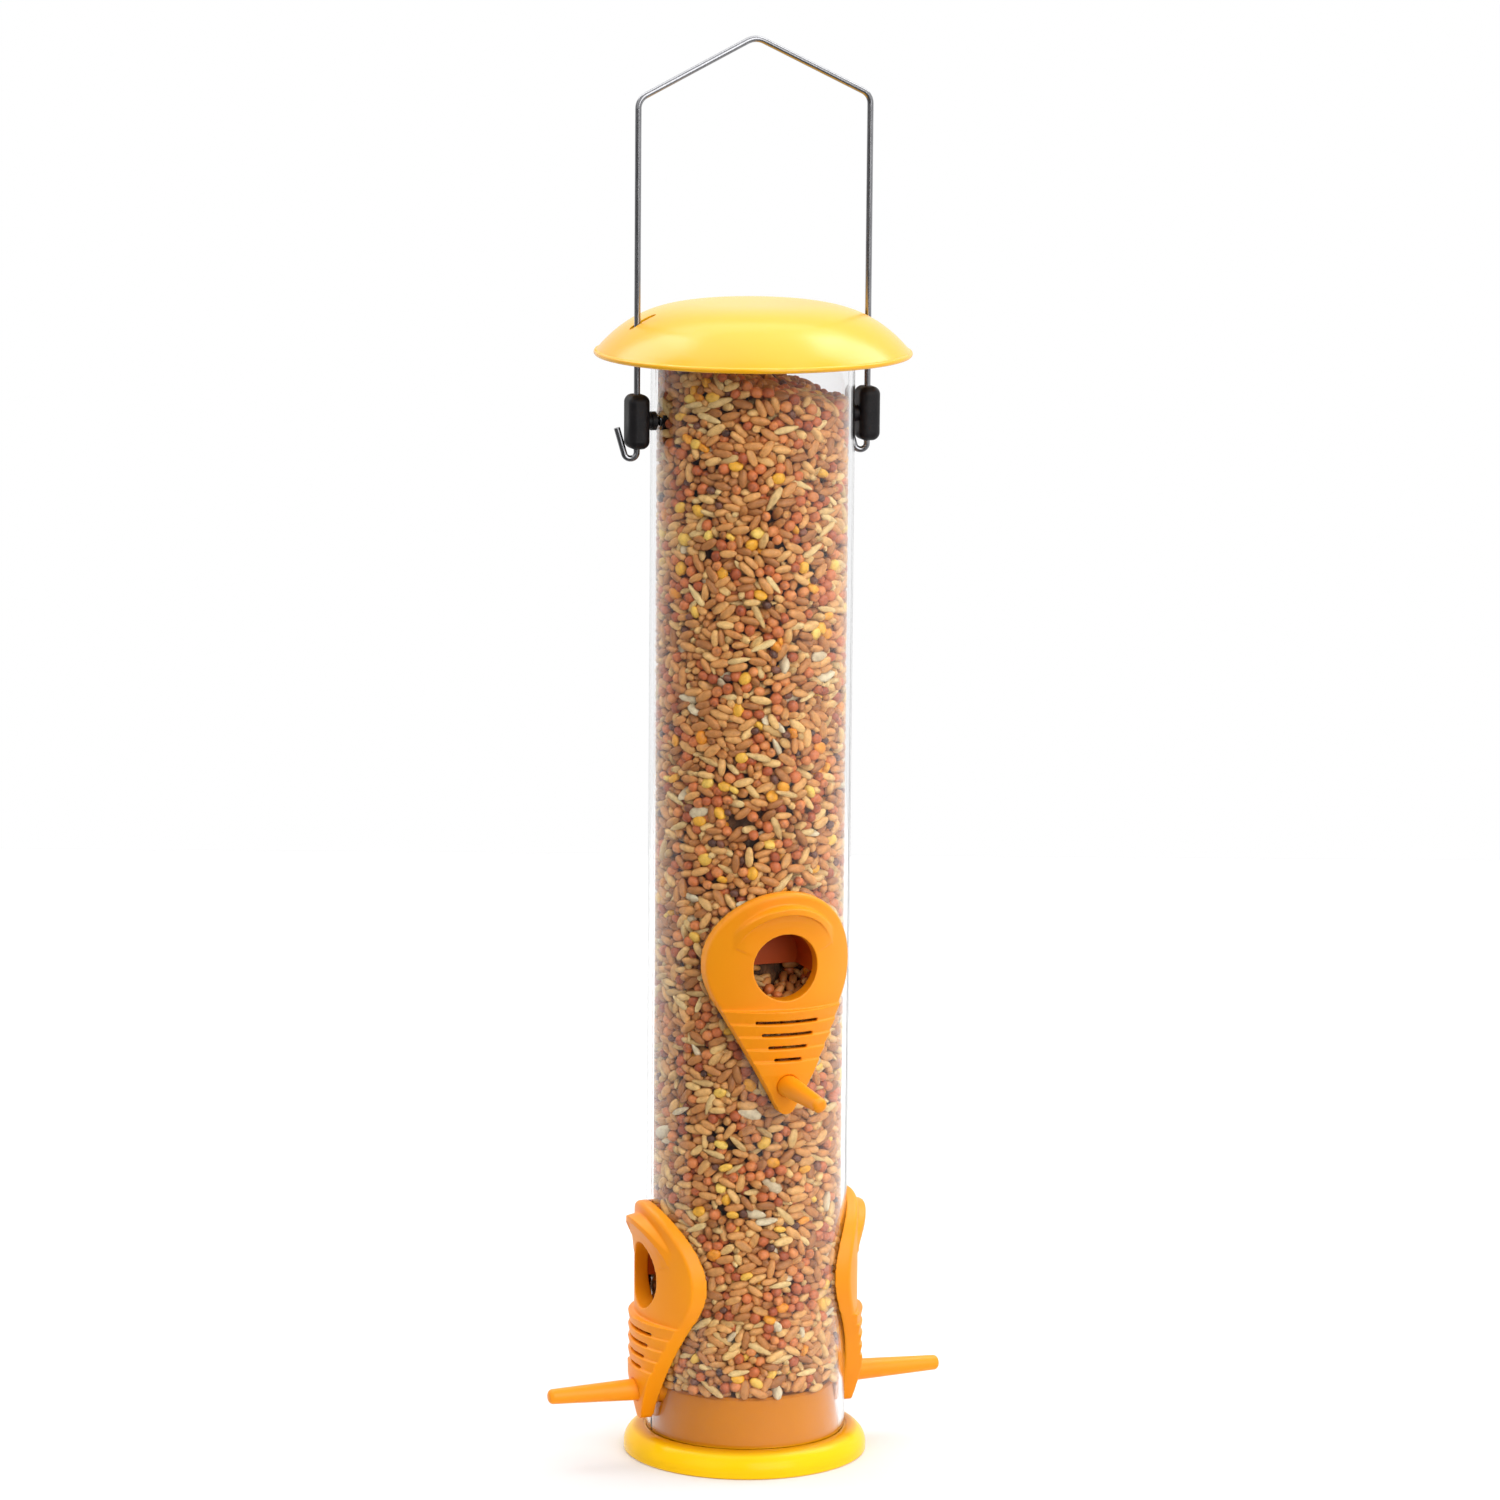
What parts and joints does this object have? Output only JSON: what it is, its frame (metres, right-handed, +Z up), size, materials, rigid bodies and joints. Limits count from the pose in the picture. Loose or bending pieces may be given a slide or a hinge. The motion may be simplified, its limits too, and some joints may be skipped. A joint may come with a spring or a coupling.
{
  "type": "hanging tube bird feeder",
  "caption": "Clear tube seed feeder with domed lid, flanged base, teardrop feeding ports with rain hoods and perches, and a wire hanger on pivot blocks.",
  "frame": {"origin": "middle of the base's underside", "axes": "+Z up along the tube; the hanger lies in the XZ plane; the lower ports face -X and +X, the upper ports -Y and +Y"},
  "size_m": [0.135, 0.135, 0.4592],
  "materials": {
    "clear_plastic": "clear, glossy",
    "yellow_paint": "gloss enamel",
    "yellow_plastic": "gloss",
    "orange_plastic": "satin, moulded",
    "black_plastic": "satin, moulded",
    "steel_wire": "bright drawn wire",
    "mixed_seed": "dry grains of wheat, red milo, kernels and maize"
  },
  "bodies": {
    "feeder": {"tube": "clear_plastic", "base": "yellow_plastic", "seed_fill": "mixed_seed", "port_shield_front": "orange_plastic", "seed_baffle_front": "orange_plastic", "perch_front": "orange_plastic", "perch_cap_front": "orange_plastic", "port_shield_back": "orange_plastic", "seed_baffle_back": "orange_plastic", "perch_back": "orange_plastic", "perch_cap_back": "orange_plastic", "port_shield_left": "orange_plastic", "seed_baffle_left": "orange_plastic", "perch_left": "orange_plastic", "perch_cap_left": "orange_plastic", "port_shield_right": "orange_plastic", "seed_baffle_right": "orange_plastic", "perch_right": "orange_plastic", "perch_cap_right": "orange_plastic"},
    "pivots": {"pivot_block_left": "black_plastic", "pivot_washer_left": "black_plastic", "pivot_block_right": "black_plastic", "pivot_washer_right": "black_plastic"},
    "hanger": {"hanger_wire": "steel_wire"},
    "lid": {"lid": "yellow_paint"}
  },
  "joints": [
    {"name": "hanger_swing", "type": "hinge", "parent": "feeder", "child": "pivots", "pos_m": [0, 0, 0.3385], "axis": [1, 0, 0], "range_deg": [0, 60.5]},
    {"name": "lid_lift", "type": "slide", "parent": "pivots", "child": "lid", "axis": [0, 0, 1], "range_m": [0, 0.06]},
    {"name": "wire_slide", "type": "slide", "parent": "pivots", "child": "hanger", "axis": [0, 0, 1], "range_m": [-0.06, 0]}
  ],
  "couplings": [
    {"joint": "hanger_swing", "follows": "lid_lift", "rad_per_m": 17.45}
  ]
}
